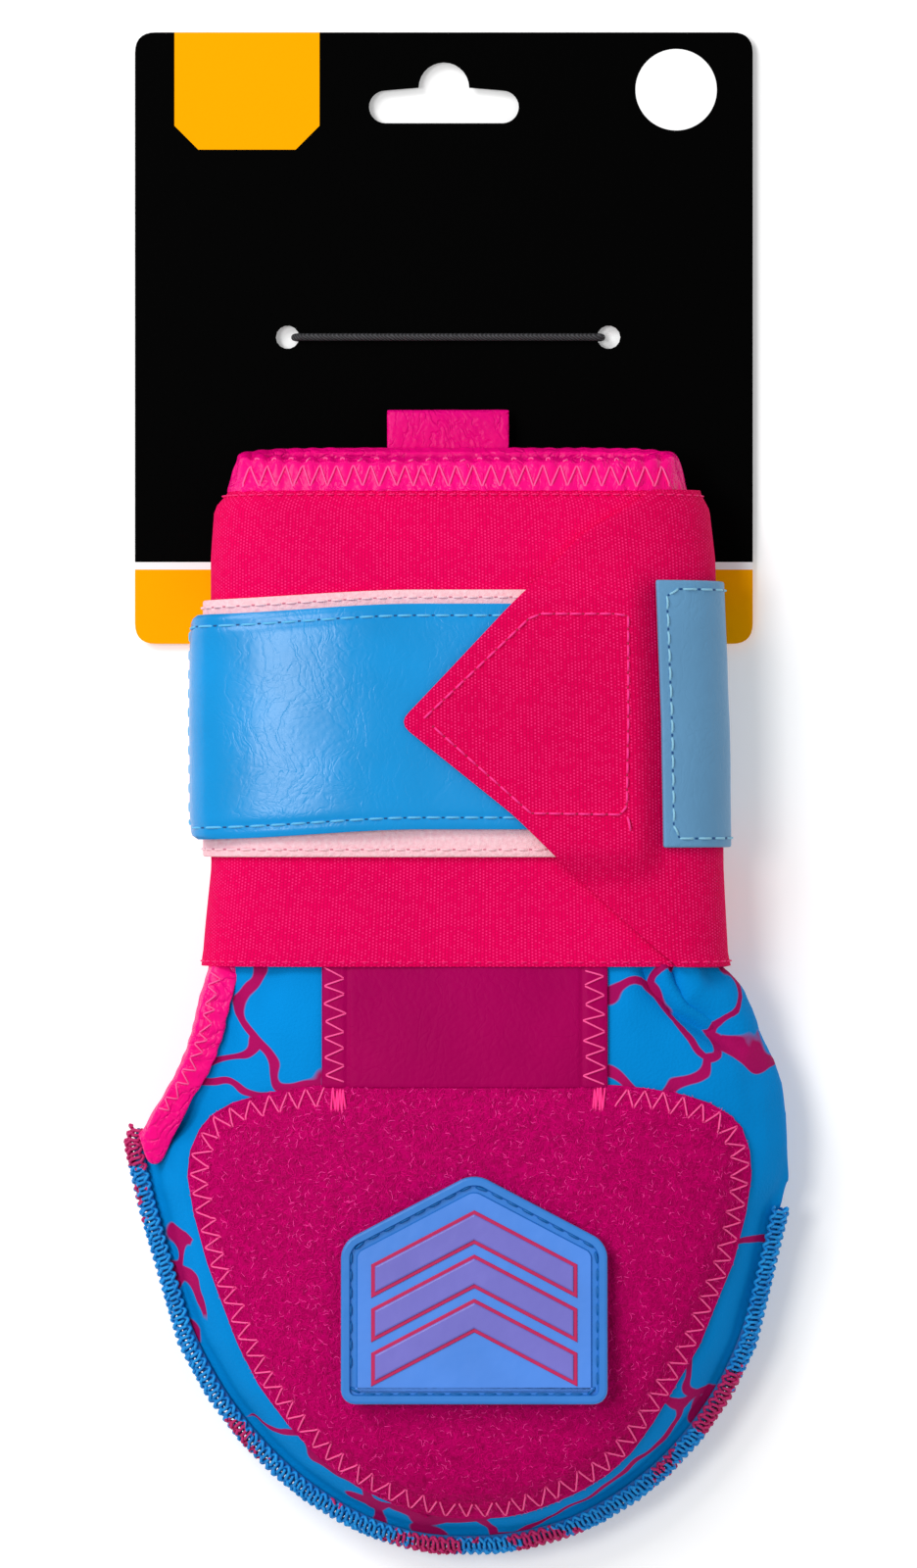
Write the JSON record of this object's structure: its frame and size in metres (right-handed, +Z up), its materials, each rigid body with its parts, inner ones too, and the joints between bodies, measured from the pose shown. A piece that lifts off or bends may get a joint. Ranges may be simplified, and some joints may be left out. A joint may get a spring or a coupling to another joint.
{
  "type": "sliding mitt on a header card",
  "caption": "Padded sliding mitt with an open wrist and thumb slot, a wide elastic wrist band with a strap and pointed flap, a pile panel with a rubber patch, on its flat hanging card.",
  "frame": {"origin": "on the surface that the palm rests on, under the middle of the whole part's width and length", "axes": "+X to the little-finger side, +Y from the finger end to the hanging card, +Z up through the back of the hand"},
  "size_m": [0.14, 0.3228, 0.0386],
  "materials": {
    "neoprene_print": "matt",
    "seam_thread": "satin",
    "pink_leather": "semi-gloss",
    "pink_elastic": "matt",
    "pale_loop": "brushed",
    "blue_leather": "semi-gloss",
    "pale_leather": "satin",
    "dark_leather": "satin",
    "pile": "brushed pile",
    "patch_rubber": "satin",
    "printed_card": "printed card",
    "black_cord": "matt",
    "tack_plastic": "clear"
  },
  "bodies": {
    "root": {"padded_body": "neoprene_print", "overlock_seam": "seam_thread", "thumb_binding_back": "pink_leather", "thumb_binding_palm": "pink_leather", "mouth_binding": "pink_leather", "pull_tab": "pink_leather", "elastic_band": "pink_elastic", "pointed_flap": "pink_elastic", "loop_tape": "pale_loop", "closure_strap": "blue_leather", "side_label": "pale_leather", "back_strip": "dark_leather", "pile_panel": "pile", "rubber_patch": "patch_rubber", "header_card": "printed_card", "card_tie": "black_cord", "card_tack": "tack_plastic"}
  },
  "joints": []
}
